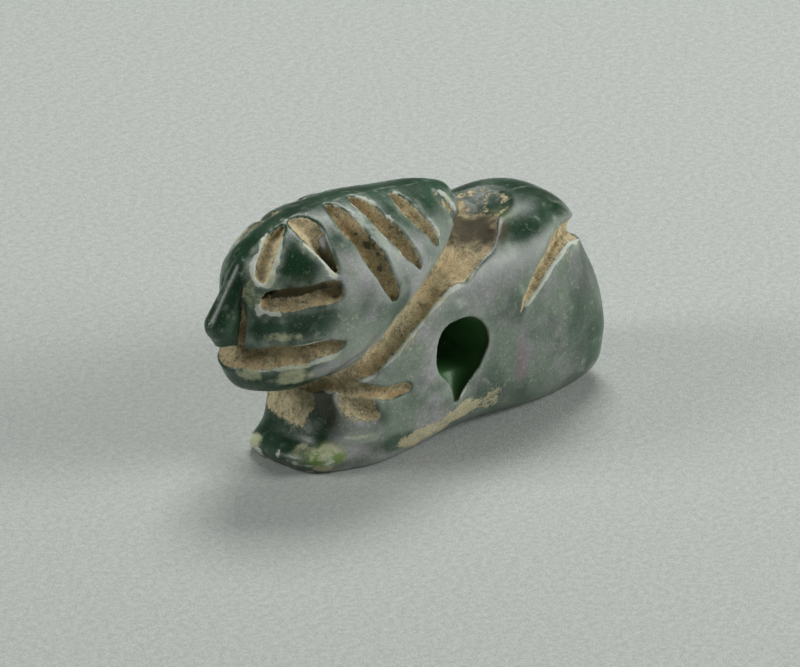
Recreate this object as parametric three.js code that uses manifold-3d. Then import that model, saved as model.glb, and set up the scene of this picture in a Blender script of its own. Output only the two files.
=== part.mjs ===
// Sphinx amulet: a crouching sphinx carved from one pebble of green stone and pierced from flank to flank.
// Millimetres, +Z up, the face towards -X, the flat underside at Z = 0.

import * as THREE from 'three';
import { mergeVertices } from 'three/addons/utils/BufferGeometryUtils.js';
import Module from 'manifold-3d';

const wasm = await Module();
wasm.setup();

// Driving sizes
const length = 14.2; // unit of the shares along X, about nose to rump
const height = 7.7; // unit of the shares along Z, about ground to crest
const bodyWidth = 4.9; // across the haunches
const headWidth = 4.8; // across the cheeks
const footWidth = 3.44; // across the forefeet
const boreRadius = 0.88; // at the middle of the bore
const boreMouthRadius = 0.96; // at the flanks, where the drill wandered
const neckGapRadius = 0.72; // round of the gap between the chin and the forefeet
const noseTipRadius = 0.46;
const noseRootRadius = 0.26;
const pupilRadius = 0.25; // drilled pit in the eye
const pupilDepth = 0.5;
const cutLift = 0.25; // how far a cutter's lid stands out of the skin
const cutRoot = 0.6; // how deep in the stone the search for the skin starts
const flankLid = 0.6 * bodyWidth; // how far out the lids over the flanks and the ends of the bore lie

// Fineness of the surfaces
const outlineSteps = 46;
const layerSteps = 15;
const strokeSteps = 7;
const sectionSteps = 2; // on each side of a cut's deepest line
const mouthSteps = 20;
const roundSteps = 32;

// Proportions: every point of the side view is [x, z] in hundredths of the length and height,
// counted from the front edge of the forefeet and from the ground.
const headOutline = [
  [-16.1, 59.7], [-14.3, 69.9], [-14, 78.7], [-12.2, 84.6], [-8.3, 90], [-3.3, 94.4], [4.5, 97.3],
  [15.8, 98.1], [28.2, 95], [37.5, 92.1], [43.5, 86.1], [42.4, 77.2], [30.9, 59.7], [18.3, 45.5],
  [6.3, 35.7], [-4.9, 32.4], [-12.1, 36.8], [-14.9, 43.7], [-16.3, 50.4],
];
const headCentre = [8.5, 67.5];
const headCurves = { sideCurve: 2.3, crossCurve: 1.8, lowCurve: 1.8 }; // 2 is an ellipse, and more is squarer
const cheeks = 14; // where the head is widest
const narrowing = { face: 0.26, cloth: 0.3, over: 30, curve: 1.8 }; // shares of the width, over a length
const bodyOutline = [
  [3.9, 31.1], [6.9, 52.1], [17, 67.4], [28.4, 74.9], [39.4, 77.2], [50.8, 77.4], [61, 76.4], [68.4, 69],
  [71.9, 57], [75.1, 42.6], [76.4, 29.3], [76.4, 15.8], [73.3, 2.9], [59.6, -2.3], [37, 0.2], [12, -4],
  [5.6, -0.1], [3.5, 9.9],
];
const bodyCentre = [39.4, 39];
const bodyCurves = { sideCurve: 3.3, crossCurve: 2.5, lowCurve: 3.9 }; // the flanks stand squarer below
const lowCurveOver = 0.2; // share of the height above and below the centre over which the curve changes
const noseRoot = [-11, 83.5]; // on the ridge
const noseTip = [-16.5, 64.2];
const boreCentre = [31.3, 38.7];
const neckGapCentre = [-2.4, 23.4];
const pupilCentre = [-9, 75.6];

// Forefeet and chest, level by level: height, front edge, and half width as a share of half the foot width
const forequarters = [
  [-4, -2.4, 0.96], [0.3, -2.5, 0.99], [3, -3.3, 1], [6, -4.1, 1], [7.6, -3.8, 0.99], [9, -1.7, 0.98],
  [12, 0.2, 0.97], [15.6, 1.2, 0.97], [23.4, 2.8, 0.985], [33.8, 3.2, 1], [52, 5.6, 0.94],
];
const chestBack = 31.5;
const footCurve = 3.6; // squareness of the forequarters seen from above
const footTilt = 0.16; // how much higher the near edge of the feet stands, as a share of its distance out
const footTiltTop = 15; // the height where the tilt has died away

// Carved strokes of the head: the brow, the temple, the eye and the locks. Reach on each side, depth, and how
// much wider and deeper the stroke is at its end than half way. Left and right are as seen on the near flank,
// below and above for the eye.
const headStrokes = [
  { from: [-1.3, 95.7], to: [-11, 81.5], left: 0.26, right: 0.24, depth: 0.26 },
  { from: [1.9, 96.8], to: [1.9, 83.4], left: 0.3, right: 0.36, depth: 0.36, widening: -0.5, deepening: 0.4 },
  { from: [-11.4, 73.8], to: [2.4, 77.4], left: 0.36, right: 0.34, depth: 0.42, deepening: 0.1 },
  { from: [10.2, 98], to: [14.7, 67.6], left: 0.3, right: 0.4, depth: 0.44 },
  { from: [16.1, 98], to: [22, 76], left: 0.27, right: 0.4, depth: 0.42 },
  { from: [25.1, 95.5], to: [28.9, 79.4], left: 0.24, right: 0.36, depth: 0.34 },
  { from: [35.4, 91.8], to: [37.8, 79.1], left: 0.22, right: 0.26, depth: 0.14 },
];
const mouth = { corner: [2.5, 57.8], front: 52, above: 0.24, below: 0.5, depth: 0.5, curve: 2.6 };
const noseSide = { at: [-16.3, 76], slope: [0.42, -1], out: 0.5, size: [0.16, 0.42, 1.3] };

// Longer hollows of the flank: centre line, then reach above, reach below and depth at each point
const flankHollows = [
  [ // parting of the head from the shoulder and back
    [-2.5, 27.3, 0.1, 0.1, 0.1], [2.4, 31, 0.25, 0.25, 0.32], [8.5, 37, 0.25, 0.35, 0.4],
    [14.4, 47.5, 0.24, 0.4, 0.42], [20.8, 58, 0.26, 0.5, 0.45], [29.6, 68, 0.3, 0.7, 0.5],
    [37.7, 75.5, 0.45, 0.75, 0.5], [44.4, 80.5, 0.6, 0.65, 0.42], [48.6, 84.4, 0.3, 0.3, 0.2],
  ],
  [ // elbow
    [3.5, 34.8, 0.2, 0.2, 0.25], [8, 32.3, 0.22, 0.26, 0.3], [12.6, 30.2, 0.2, 0.26, 0.28],
    [17, 29.3, 0.14, 0.18, 0.2], [20.5, 29.5, 0.05, 0.06, 0.08],
  ],
  [ // forearm
    [4.6, 30, 0.12, 0.1, 0.12], [6.5, 26, 0.3, 0.3, 0.22], [9.5, 23.5, 0.25, 0.22, 0.14],
    [12.5, 21, 0.1, 0.1, 0.05],
  ],
];

// The hollow that sets the haunch off from the back, over the spine, with the same numbers at each point
const haunchHollow = [
  [45.8, 42.4, 0.05, 0.05, 0.04], [48.2, 47.8, 0.15, 0.1, 0.14], [51, 53.3, 0.3, 0.13, 0.24],
  [54.6, 58.9, 0.45, 0.15, 0.32], [58.9, 63.7, 0.6, 0.17, 0.36], [62.2, 65.9, 0.7, 0.2, 0.34],
  [66.5, 67, 0.7, 0.2, 0.26], [70, 66, 0.6, 0.2, 0.16], [72, 64.5, 0.3, 0.1, 0.05],
];
const cutCurve = 1.35; // section of a cut, between a V, 1, and a round trough, 2
const boreChip = { at: [31.2, 25.4], size: [0.34, 0.4, 0.56] }; // half sizes, on the near flank only

// A place in the side view in millimetres
function side([x, z], y = 0) {
  return new THREE.Vector3((x * length) / 100, y, (z * height) / 100);
}

// Faces over rings of points, closed by a pole at each end
function closedSkin(startPole, rings, endPole) {
  const count = rings[0].length;
  const last = 1 + rings.length * count;
  const faces = [];
  for (let j = 0; j < count; j++) {
    const k = (j + 1) % count;
    faces.push(0, 1 + k, 1 + j, last, last - count + j, last - count + k);
    for (let i = 0; i + 1 < rings.length; i++) {
      const low = 1 + i * count;
      const high = low + count;
      faces.push(low + j, low + k, high + k, low + j, high + k, high + j);
    }
  }
  const geometry = new THREE.BufferGeometry().setFromPoints([startPole, ...rings.flat(), endPole]);
  geometry.setIndex(faces);
  return geometry;
}

// A closed mesh as a solid for joining and cutting, its faces turned outwards
function toSolid(source) {
  source.deleteAttribute('normal');
  source.deleteAttribute('uv');
  const merged = mergeVertices(source, 1e-4);
  const points = merged.attributes.position;
  const corners = [0, 1, 2].map(() => new THREE.Vector3());
  const faces = [];
  let volume = 0;
  for (let i = 0; i < merged.index.count; i += 3) {
    const face = [0, 1, 2].map((step) => merged.index.getX(i + step));
    if (new Set(face).size < 3) continue;
    faces.push(face);
    face.forEach((index, step) => corners[step].fromBufferAttribute(points, index));
    volume += corners[0].dot(corners[1].clone().cross(corners[2]));
  }
  const turned = volume < 0 ? faces.map(([a, b, c]) => [a, c, b]) : faces;
  return new wasm.Manifold(
    new wasm.Mesh({
      numProp: 3,
      vertProperties: new Float32Array(points.array),
      triVerts: new Uint32Array(turned.flat()),
    }),
  );
}

// How far a point lies from a centre, and how far the outline's edge lies from it the same way
function edgeReach(points, centre, x, z) {
  const away = Math.hypot(x - centre.x, z - centre.z) || 1;
  const ux = (x - centre.x) / away;
  const uz = (z - centre.z) / away;
  for (let i = 0; i < points.length; i++) {
    const a = points[i];
    const b = points[(i + 1) % points.length];
    const sideA = ux * (a.z - centre.z) - uz * (a.x - centre.x);
    const sideB = ux * (b.z - centre.z) - uz * (b.x - centre.x);
    if (sideA < 0 === sideB < 0) continue;
    const share = sideA / (sideA - sideB);
    const reach = ux * (a.x + (b.x - a.x) * share - centre.x) + uz * (a.z + (b.z - a.z) * share - centre.z);
    if (reach > 0) return { away, reach };
  }
  return { away, reach: away };
}

// A pillow over a side outline: the share of the way to the edge, to the power sideCurve, and the share of the
// half width, to a power that goes from crossCurve to lowCurve below the centre, add up to 1
function pillow({ outline, centre, halfWidth, sideCurve, crossCurve, lowCurve, breadth }) {
  const curve = new THREE.CatmullRomCurve3(outline.map((point) => side(point)), true, 'catmullrom', 0.5);
  const edge = curve.getSpacedPoints(outlineSteps).slice(0, -1);
  const fineEdge = curve.getSpacedPoints(outlineSteps * 4).slice(0, -1);
  const middle = side(centre);
  const turnOver = lowCurveOver * height;
  const crossAt = (z) => (
    THREE.MathUtils.lerp(lowCurve, crossCurve, THREE.MathUtils.smoothstep(z - middle.z, -turnOver, turnOver))
  );
  const rings = [];
  for (let i = 1; i < layerSteps; i++) {
    const turn = -Math.PI / 2 + (Math.PI * i) / layerSteps;
    const share = Math.cos(turn) ** (2 / sideCurve);
    rings.push(edge.map((point) => {
      const place = middle.clone().lerp(point, share);
      const out = Math.sign(turn) * Math.abs(Math.sin(turn)) ** (2 / crossAt(place.z));
      return place.setY(out * halfWidth * breadth(place.x));
    }));
  }
  const pole = halfWidth * breadth(middle.x);
  const skin = closedSkin(middle.clone().setY(-pole), rings, middle.clone().setY(pole));
  const field = ({ x, y, z }) => {
    const { away, reach } = edgeReach(fineEdge, middle, x, z);
    return (away / reach) ** sideCurve + (Math.abs(y) / (halfWidth * breadth(x))) ** crossAt(z) - 1;
  };
  return { solid: toSolid(skin), field };
}

// The head is widest at the cheeks and narrows to the face and to the tip of the head cloth
function headBreadth(x) {
  const away = x - side([cheeks, 0]).x;
  const lost = away < 0 ? narrowing.face : narrowing.cloth;
  return 1 - lost * Math.abs(away / side([narrowing.over, 0]).x) ** narrowing.curve;
}

const head = pillow({
  outline: headOutline,
  centre: headCentre,
  halfWidth: headWidth / 2,
  ...headCurves,
  breadth: headBreadth,
});
const body = pillow({
  outline: bodyOutline,
  centre: bodyCentre,
  halfWidth: bodyWidth / 2,
  ...bodyCurves,
  breadth: () => 1,
});

// How far out a rounded rectangle's edge lies at each angle, as a share
function squareShare(angle, curve) {
  return (Math.abs(Math.cos(angle)) ** curve + Math.abs(Math.sin(angle)) ** curve) ** (-1 / curve);
}

// Forefeet flaring out from the chest, level by level, the near edge a little higher
function forequarterGeometry() {
  const back = side([chestBack, 0]).x;
  const rings = forequarters.map(([level, front, widthShare]) => {
    const start = side([front, level]);
    const middle = (start.x + back) / 2;
    const halfWidth = (widthShare * footWidth) / 2;
    const tilt = footTilt * Math.max(0, 1 - level / footTiltTop);
    const ring = [];
    for (let i = 0; i < outlineSteps; i++) {
      const angle = (2 * Math.PI * i) / outlineSteps;
      const share = squareShare(angle, footCurve);
      const y = Math.sin(angle) * share * halfWidth;
      const x = middle + Math.cos(angle) * share * (back - middle);
      ring.push(new THREE.Vector3(x, y, start.z - tilt * y));
    }
    return ring;
  });
  const centreOf = (ring) => new THREE.Vector3((ring[0].x + ring[outlineSteps / 2].x) / 2, 0, ring[0].z);
  return closedSkin(centreOf(rings[0]), rings, centreOf(rings.at(-1)));
}

// A drop along the ridge of the nose, with a round end at the root and a larger one at the tip
function noseGeometry() {
  const root = side(noseRoot);
  const tip = side(noseTip);
  const ridge = tip.clone().sub(root);
  const profile = [];
  for (let i = 0; i <= 10; i++) {
    const turn = (Math.PI * i) / 10;
    const radius = i < 5 ? noseRootRadius : noseTipRadius;
    const centre = i < 5 ? 0 : ridge.length();
    profile.push(new THREE.Vector2(Math.sin(turn) * radius, centre - Math.cos(turn) * radius));
  }
  profile[0].x = 0;
  profile.at(-1).x = 0;
  const geometry = new THREE.LatheGeometry(profile, 20);
  const turned = new THREE.Quaternion().setFromUnitVectors(new THREE.Vector3(0, 1, 0), ridge.normalize());
  return geometry.applyQuaternion(turned).translate(root.x, root.y, root.z);
}

// The point where a way out from inside meets a skin, or its start where that is outside already
function onSkin(field, start, way) {
  if (field(start) >= 0) return start.clone();
  let inside = 0;
  let outside = bodyWidth;
  for (let i = 0; i < 26; i++) {
    const middle = (inside + outside) / 2;
    if (field(start.clone().addScaledVector(way, middle)) < 0) inside = middle;
    else outside = middle;
  }
  return start.clone().addScaledVector(way, inside);
}

// The way straight out of a skin, from the slope of its field
function outOf(field, point) {
  const step = 1e-3;
  const slope = (axis) => {
    const ahead = point.clone().addScaledVector(axis, step);
    const behind = point.clone().addScaledVector(axis, -step);
    return field(ahead) - field(behind);
  };
  const axes = [new THREE.Vector3(1, 0, 0), new THREE.Vector3(0, 1, 0), new THREE.Vector3(0, 0, 1)];
  return new THREE.Vector3(...axes.map(slope)).normalize();
}

// A cutter along a row of stations: a trough below the skin and a lid above it.
// place(station, t) gives the point on the skin t millimetres beside the line, the way out there and the lid.
function troughGeometry(stations, place) {
  const rings = stations.map((station) => {
    const ring = [];
    for (let j = -sectionSteps; j <= sectionSteps; j++) {
      const share = j / sectionSteps;
      const { point, out } = place(station, share * (share < 0 ? station.left : station.right));
      const sunk = station.depth * Math.max(0, 1 - Math.abs(share) ** cutCurve) ** (1 / cutCurve);
      ring.push(point.addScaledVector(out, -sunk));
    }
    for (const share of [1, 0, -1]) {
      ring.push(place(station, share * (share < 0 ? station.left : station.right)).lid);
    }
    return ring;
  });
  const centreOf = (ring) => {
    const sum = ring.reduce((total, point) => total.add(point), new THREE.Vector3());
    return sum.divideScalar(ring.length);
  };
  return closedSkin(centreOf(rings[0]), rings, centreOf(rings.at(-1)));
}

// The way out from a point on the head's skin, with a lid just above it
function onHead(point) {
  const out = outOf(head.field, point);
  return { point, out, lid: point.clone().addScaledVector(out, cutLift) };
}

// The point of the side view that lies t beside a line, in the middle of the stone
function beside([x, z], along, t) {
  return new THREE.Vector3(x + along.z * t, 0, z - along.x * t);
}

// A straight stroke laid over the curved skin, fullest half way
function strokeCutter({ from, to, left, right, depth, widening = 0, deepening = 0 }, flank) {
  const first = onSkin(head.field, side(from), flank);
  const last = onSkin(head.field, side(to), flank);
  const along = last.clone().sub(first).normalize();
  const slope = outOf(head.field, first.clone().lerp(last, 0.5));
  const across = slope.clone().cross(along).multiplyScalar(-flank.y).normalize();
  const out = along.clone().cross(across).multiplyScalar(-flank.y);
  const stations = [];
  for (let i = 1; i < strokeSteps; i++) {
    const way = -Math.cos((Math.PI * i) / strokeSteps);
    const fullness = Math.sqrt(1 - way * way);
    const width = fullness * (1 + widening * way);
    stations.push({
      at: first.clone().lerp(last, (way + 1) / 2),
      left: left * width,
      right: right * width,
      depth: depth * fullness * (1 + deepening * way),
    });
  }
  return toSolid(troughGeometry(stations, ({ at }, t) => (
    onHead(onSkin(head.field, at.clone().addScaledVector(across, t), out))
  )));
}

// Stations along a line, with the reaches and depth between those given at each of its points
function stationsAlong(line, points) {
  const steps = (points.length - 1) * 2;
  const stations = [];
  for (let i = 0; i <= steps; i++) {
    const way = (i / steps) * (points.length - 1);
    const before = Math.min(Math.floor(way), points.length - 2);
    const [left, right, depth] = [2, 3, 4].map((column) => (
      THREE.MathUtils.lerp(points[before][column], points[before + 1][column], way - before)
    ));
    stations.push({ at: line.getPoint(i / steps), along: line.getTangent(i / steps), left, right, depth });
  }
  return stations;
}

// A hollow cut square to the flank
function flankCutter(points, flank) {
  const field = (place) => Math.min(head.field(place), body.field(place));
  const line = new THREE.CatmullRomCurve3(points.map(([x, z]) => side([x, z])));
  return toSolid(troughGeometry(stationsAlong(line, points), ({ at, along }, t) => {
    const point = onSkin(field, beside([at.x, at.z], along, t), flank);
    return { point, out: flank, lid: point.clone().setY(flank.y * flankLid) };
  }));
}

// The hollow of the haunch, cut square to the body's skin as it goes over the spine
function haunchCutter(points, flank) {
  const line = new THREE.CatmullRomCurve3(points.map((point) => onSkin(body.field, side(point), flank)));
  return toSolid(troughGeometry(stationsAlong(line, points), ({ at, along }, t) => {
    const out = outOf(body.field, at);
    const across = out.clone().cross(along).multiplyScalar(flank.y).normalize();
    const inside = at.clone().addScaledVector(across, t).addScaledVector(out, -cutRoot);
    const point = onSkin(body.field, inside, out);
    return { point, out, lid: point.clone().addScaledVector(out, cutLift) };
  }));
}

// The mouth wraps the face from corner to corner, level with the front of the lips
function mouthCutter() {
  const corner = side(mouth.corner);
  const front = side([0, mouth.front]).z;
  const stations = [];
  for (let i = 1; i < mouthSteps; i++) {
    const turn = -Math.PI / 2 + (Math.PI * i) / mouthSteps;
    const fullness = Math.sqrt(1 - Math.abs(turn / (Math.PI / 2)) ** mouth.curve);
    const level = THREE.MathUtils.lerp(front, corner.z, 1 - Math.cos(turn));
    stations.push({
      turn,
      level,
      left: mouth.above * fullness,
      right: mouth.below * fullness,
      depth: mouth.depth * fullness,
    });
  }
  return toSolid(troughGeometry(stations, ({ turn, level }, t) => {
    const start = new THREE.Vector3(corner.x, 0, level - t);
    return onHead(onSkin(head.field, start, new THREE.Vector3(-Math.cos(turn), Math.sin(turn), 0)));
  }));
}

// The groove between the nose and the cheek, a flattened ball standing along the face
function noseSideCutter(flank) {
  const [wide, deep, half] = noseSide.size;
  const along = new THREE.Vector3(noseSide.slope[0], 0, noseSide.slope[1]).normalize();
  const across = new THREE.Vector3(-0.5, flank.y * 0.85, 0).cross(along).normalize();
  const out = along.clone().cross(across).normalize();
  const turned = new THREE.Matrix4().makeBasis(across, out, along);
  const place = side(noseSide.at, flank.y * noseSide.out);
  const geometry = new THREE.SphereGeometry(1, 12, 10).scale(wide, deep, half).applyMatrix4(turned);
  return toSolid(geometry.translate(place.x, place.y, place.z));
}

// The drilled pit of the eye, square to the flank
function pupilCutter(flank) {
  const skin = onSkin(head.field, side(pupilCentre), flank);
  const geometry = new THREE.CylinderGeometry(pupilRadius, pupilRadius * 0.8, pupilDepth * 2, 16);
  if (flank.y < 0) geometry.rotateX(Math.PI);
  return toSolid(geometry.translate(skin.x, skin.y, skin.z));
}

// The bore, a little wider at the flanks than half way
function boreCutter() {
  const profile = [];
  for (let i = 0; i <= 8; i++) {
    const way = i / 4 - 1;
    profile.push(new THREE.Vector2(boreRadius + (boreMouthRadius - boreRadius) * way * way, way * flankLid));
  }
  profile.unshift(new THREE.Vector2(0, profile[0].y));
  profile.push(new THREE.Vector2(0, profile.at(-1).y));
  const centre = side(boreCentre);
  return toSolid(new THREE.LatheGeometry(profile, roundSteps).translate(centre.x, 0, centre.z));
}

// The pointed chip that broke out below the bore on the near flank
function chipCutter() {
  const [x, y, z] = boreChip.size;
  const place = side(boreChip.at, -bodyWidth / 2);
  const geometry = new THREE.OctahedronGeometry(1, 1).scale(x, y, z);
  return toSolid(geometry.translate(place.x, place.y, place.z));
}

// Everything that was ground away between the chin and the forefeet
function neckGapCutter() {
  const centre = side(neckGapCentre);
  const geometry = new THREE.CylinderGeometry(neckGapRadius, neckGapRadius, bodyWidth, roundSteps);
  return toSolid(geometry.translate(centre.x, 0, centre.z));
}

// Everything below the ground
function groundCutter() {
  const geometry = new THREE.BoxGeometry(2 * length, 2 * bodyWidth, height);
  return toSolid(geometry.translate(length / 2, 0, -height / 2));
}

const flanks = [new THREE.Vector3(0, -1, 0), new THREE.Vector3(0, 1, 0)];
let sphinx = head.solid.add(toSolid(noseGeometry())).add(body.solid).add(toSolid(forequarterGeometry()));
for (const flank of flanks) {
  for (const stroke of headStrokes) sphinx = sphinx.subtract(strokeCutter(stroke, flank));
  for (const hollow of flankHollows) sphinx = sphinx.subtract(flankCutter(hollow, flank));
  sphinx = sphinx.subtract(haunchCutter(haunchHollow, flank));
  sphinx = sphinx.subtract(noseSideCutter(flank)).subtract(pupilCutter(flank));
}
for (const cutter of [mouthCutter(), boreCutter(), chipCutter(), neckGapCutter(), groundCutter()]) {
  sphinx = sphinx.subtract(cutter);
}

// The finished solid, standing on the middle of its own footprint
function finishedGeometry(solid) {
  const { vertProperties, triVerts } = solid.getMesh();
  const geometry = new THREE.BufferGeometry();
  geometry.setAttribute('position', new THREE.BufferAttribute(vertProperties, 3));
  geometry.setIndex(new THREE.BufferAttribute(triVerts, 1));
  geometry.computeBoundingBox();
  const { min, max } = geometry.boundingBox;
  geometry.translate(-(min.x + max.x) / 2, -(min.y + max.y) / 2, -min.z);
  geometry.computeVertexNormals();
  return geometry;
}

const stone = new THREE.MeshStandardMaterial({ color: 0x46564a, roughness: 0.4, metalness: 0 });
const amulet = new THREE.Mesh(finishedGeometry(sphinx), stone);
amulet.name = 'sphinx_amulet';

const model = new THREE.Group();
model.add(amulet);

export default model;
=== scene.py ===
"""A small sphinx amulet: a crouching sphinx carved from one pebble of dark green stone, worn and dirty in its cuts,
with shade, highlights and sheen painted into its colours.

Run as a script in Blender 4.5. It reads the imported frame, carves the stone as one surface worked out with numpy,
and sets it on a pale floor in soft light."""

import math

import bpy
import numpy as np
from bpy.props import FloatProperty, FloatVectorProperty, PointerProperty
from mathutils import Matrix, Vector


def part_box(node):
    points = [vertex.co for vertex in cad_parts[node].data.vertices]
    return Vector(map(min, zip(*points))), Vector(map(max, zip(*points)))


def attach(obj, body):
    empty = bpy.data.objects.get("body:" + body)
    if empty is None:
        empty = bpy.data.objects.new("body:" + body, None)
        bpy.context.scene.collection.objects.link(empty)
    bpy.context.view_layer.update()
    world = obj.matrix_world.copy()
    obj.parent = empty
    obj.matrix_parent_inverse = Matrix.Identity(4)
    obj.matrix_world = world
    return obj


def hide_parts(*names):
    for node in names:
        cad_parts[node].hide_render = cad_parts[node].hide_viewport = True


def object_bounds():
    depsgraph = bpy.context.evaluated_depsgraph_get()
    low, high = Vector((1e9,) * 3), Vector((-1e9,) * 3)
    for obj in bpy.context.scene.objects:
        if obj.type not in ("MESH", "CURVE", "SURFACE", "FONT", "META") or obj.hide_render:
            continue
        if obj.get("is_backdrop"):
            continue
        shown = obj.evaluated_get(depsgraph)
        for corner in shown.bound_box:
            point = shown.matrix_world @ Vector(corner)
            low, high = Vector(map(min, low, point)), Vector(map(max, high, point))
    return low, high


bl_info = {
    "name": "Sphinx Amulet",
    "version": (1, 0, 0),
    "blender": (4, 5, 0),
    "location": "3D View > Sidebar > Sphinx",
    "description": "Carves a worn green stone sphinx amulet and its stage",
    "category": "Object",
}

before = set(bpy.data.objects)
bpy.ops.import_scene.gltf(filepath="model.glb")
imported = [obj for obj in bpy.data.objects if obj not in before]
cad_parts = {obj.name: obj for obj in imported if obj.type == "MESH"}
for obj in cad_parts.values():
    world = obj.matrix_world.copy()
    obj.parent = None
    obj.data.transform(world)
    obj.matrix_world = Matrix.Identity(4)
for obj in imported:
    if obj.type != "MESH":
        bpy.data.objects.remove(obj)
FRAME_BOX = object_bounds()
MM = 0.001
NODE = "sphinx_amulet"

# The shares below are hundredths of these two, as in the carved solid
LENGTH = 14.2
HEIGHT = 7.7

# Side view, [x, z] in hundredths of the length and height, from the front edge of the forefeet and the ground
HEAD_OUTLINE = [
    (-16.1, 59.7), (-14.3, 69.9), (-14, 78.7), (-12.2, 84.6), (-8.3, 90), (-3.3, 94.4), (4.5, 97.3),
    (15.8, 98.1), (28.2, 95), (37.5, 92.1), (43.5, 86.1), (42.4, 77.2), (30.9, 59.7), (18.3, 45.5),
    (6.3, 35.7), (-4.9, 32.4), (-12.1, 36.8), (-14.9, 43.7), (-16.3, 50.4),
]
HEAD_CENTRE = (8.5, 67.5)
BODY_OUTLINE = [
    (3.9, 31.1), (6.9, 52.1), (17, 67.4), (28.4, 74.9), (39.4, 77.2), (50.8, 77.4), (61.8, 77.3),
    (69.2, 70.3), (72, 57), (75.1, 42.6), (76.4, 29.3), (76.4, 15.8), (73.3, 2.9), (59.6, -2.3),
    (37, 0.2), (12, -4), (5.6, -0.1), (3.5, 9.9),
]
BODY_CENTRE = (39.4, 39)
CHEEKS = 14
NOSE_ROOT = (-11, 83.5)
NOSE_TIP = (-16.5, 64.2)
NOSE_FOOT = (-15.7, 57.6)
BORE_CENTRE = (31.3, 38.7)
NECK_GAP = ((-11.3, 24.7), (-2.1, 24.7))
PUPIL = (-9.8, 76.4)

# Forefeet and chest: height, front edge, half width as a share of half the foot width
FOREQUARTERS = np.array([
    (-4, -0.6, 0.88), (0.3, -1.6, 0.92), (3, -3.3, 0.98), (6, -4.2, 1), (7.6, -3.8, 0.99), (9, -1.7, 0.98),
    (12, 0.2, 0.97), (15.6, 1.2, 0.97), (23.4, 2.8, 0.985), (33.8, 3.2, 1), (52, 5.6, 0.94),
])
CHEST_BACK = 31.5
FOOT_TILT = 0.16
FOOT_TILT_TOP = 15

# Strokes of the head on the near flank: from, to, reach to the left and right of the way in mm, depth in mm,
# curve of the section, bluntness of the ends to the left and right, how much wider and deeper it is at the end,
# and how far it bows to the left in mm
HEAD_STROKES = {
    "brow": ((-1.3, 95.7), (-11, 81.5), 0.26, 0.24, 0.26, 1.9, (2.8, 2.8), 0, 0, 0),
    "temple": ((1.9, 96.8), (1.9, 83.4), 0.3, 0.36, 0.36, 1.2, (3, 2.6), -0.5, 0.45, 0),
    "eye": ((-11.6, 73.8), (2.4, 77.4), 0.36, 0.34, 0.42, 1.3, (3.4, 3.4), 0, 0.1, 0),
    "lock_1": ((10.2, 98), (14.7, 67.6), 0.34, 0.38, 0.44, 1.15, (3, 2.1), 0, 0, 0.3),
    "lock_2": ((16.1, 98), (22, 76), 0.3, 0.36, 0.42, 1.15, (3, 2.1), 0, 0, 0.3),
    "lock_3": ((25.1, 95.5), (28.9, 79.4), 0.26, 0.34, 0.34, 1.15, (3, 2.1), 0, 0, 0.22),
    "lock_4": ((35.4, 91.8), (37.8, 79.1), 0.22, 0.26, 0.14, 1.5, (2.4, 2.4), 0, 0, 0.1),
}
FAR_SHIFT = 0.9
FOOT_DRAW_IN = 0.06
MOUTH = ((-25.4, 52), (2.5, 57.2), 0.22, 0.5, 0.55, 1.3, (2.2, 2.6), 0, 0, 0)
NOSE_SIDE = ((-15.4, 73.5), (0.05, -1), 0.6, (1.9, 0.13, 0.42))

# Hollows of the flank: deepest line, then reach above, reach below and depth in mm at each point
FLANK_HOLLOWS = {
    "parting": [
        (2.4, 30, 0.2, 0.2, 0.25), (4.4, 35.3, 0.25, 0.28, 0.35), (9.6, 41.7, 0.22, 0.36, 0.4),
        (14.4, 49.6, 0.2, 0.46, 0.42), (18.7, 56.7, 0.2, 0.5, 0.42), (23.2, 63.1, 0.22, 0.55, 0.45),
        (27.6, 67.7, 0.26, 0.65, 0.48), (32.5, 71.4, 0.3, 0.85, 0.5), (38.9, 75.6, 0.4, 1.05, 0.45),
        (46, 78, 0.5, 1.15, 0.35), (50, 79, 0.5, 1.1, 0.25),
    ],
    "haunch": [
        (45.8, 42.4, 0.05, 0.05, 0.04), (48.2, 47.8, 0.15, 0.1, 0.14), (51, 53.3, 0.3, 0.13, 0.24),
        (54.6, 58.4, 0.32, 0.15, 0.3), (58.9, 62.4, 0.42, 0.17, 0.34), (62.5, 64.2, 0.48, 0.2, 0.34),
        (66.5, 63, 0.46, 0.22, 0.3), (70, 59.5, 0.42, 0.25, 0.24), (72.6, 55.5, 0.36, 0.25, 0.16),
    ],
    "elbow": [
        (3.5, 34.8, 0.2, 0.2, 0.25), (8, 32.4, 0.22, 0.26, 0.28), (12.6, 30.6, 0.2, 0.24, 0.26),
        (15.4, 30.2, 0.2, 0.2, 0.24), (17.6, 30.2, 0.18, 0.18, 0.2),
    ],
    "forearm": [
        (5.4, 29.5, 0.25, 0.25, 0.12), (7, 26.5, 0.45, 0.35, 0.15), (9, 23.5, 0.4, 0.35, 0.13),
        (11, 21.5, 0.25, 0.25, 0.07),
    ],
}
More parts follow.
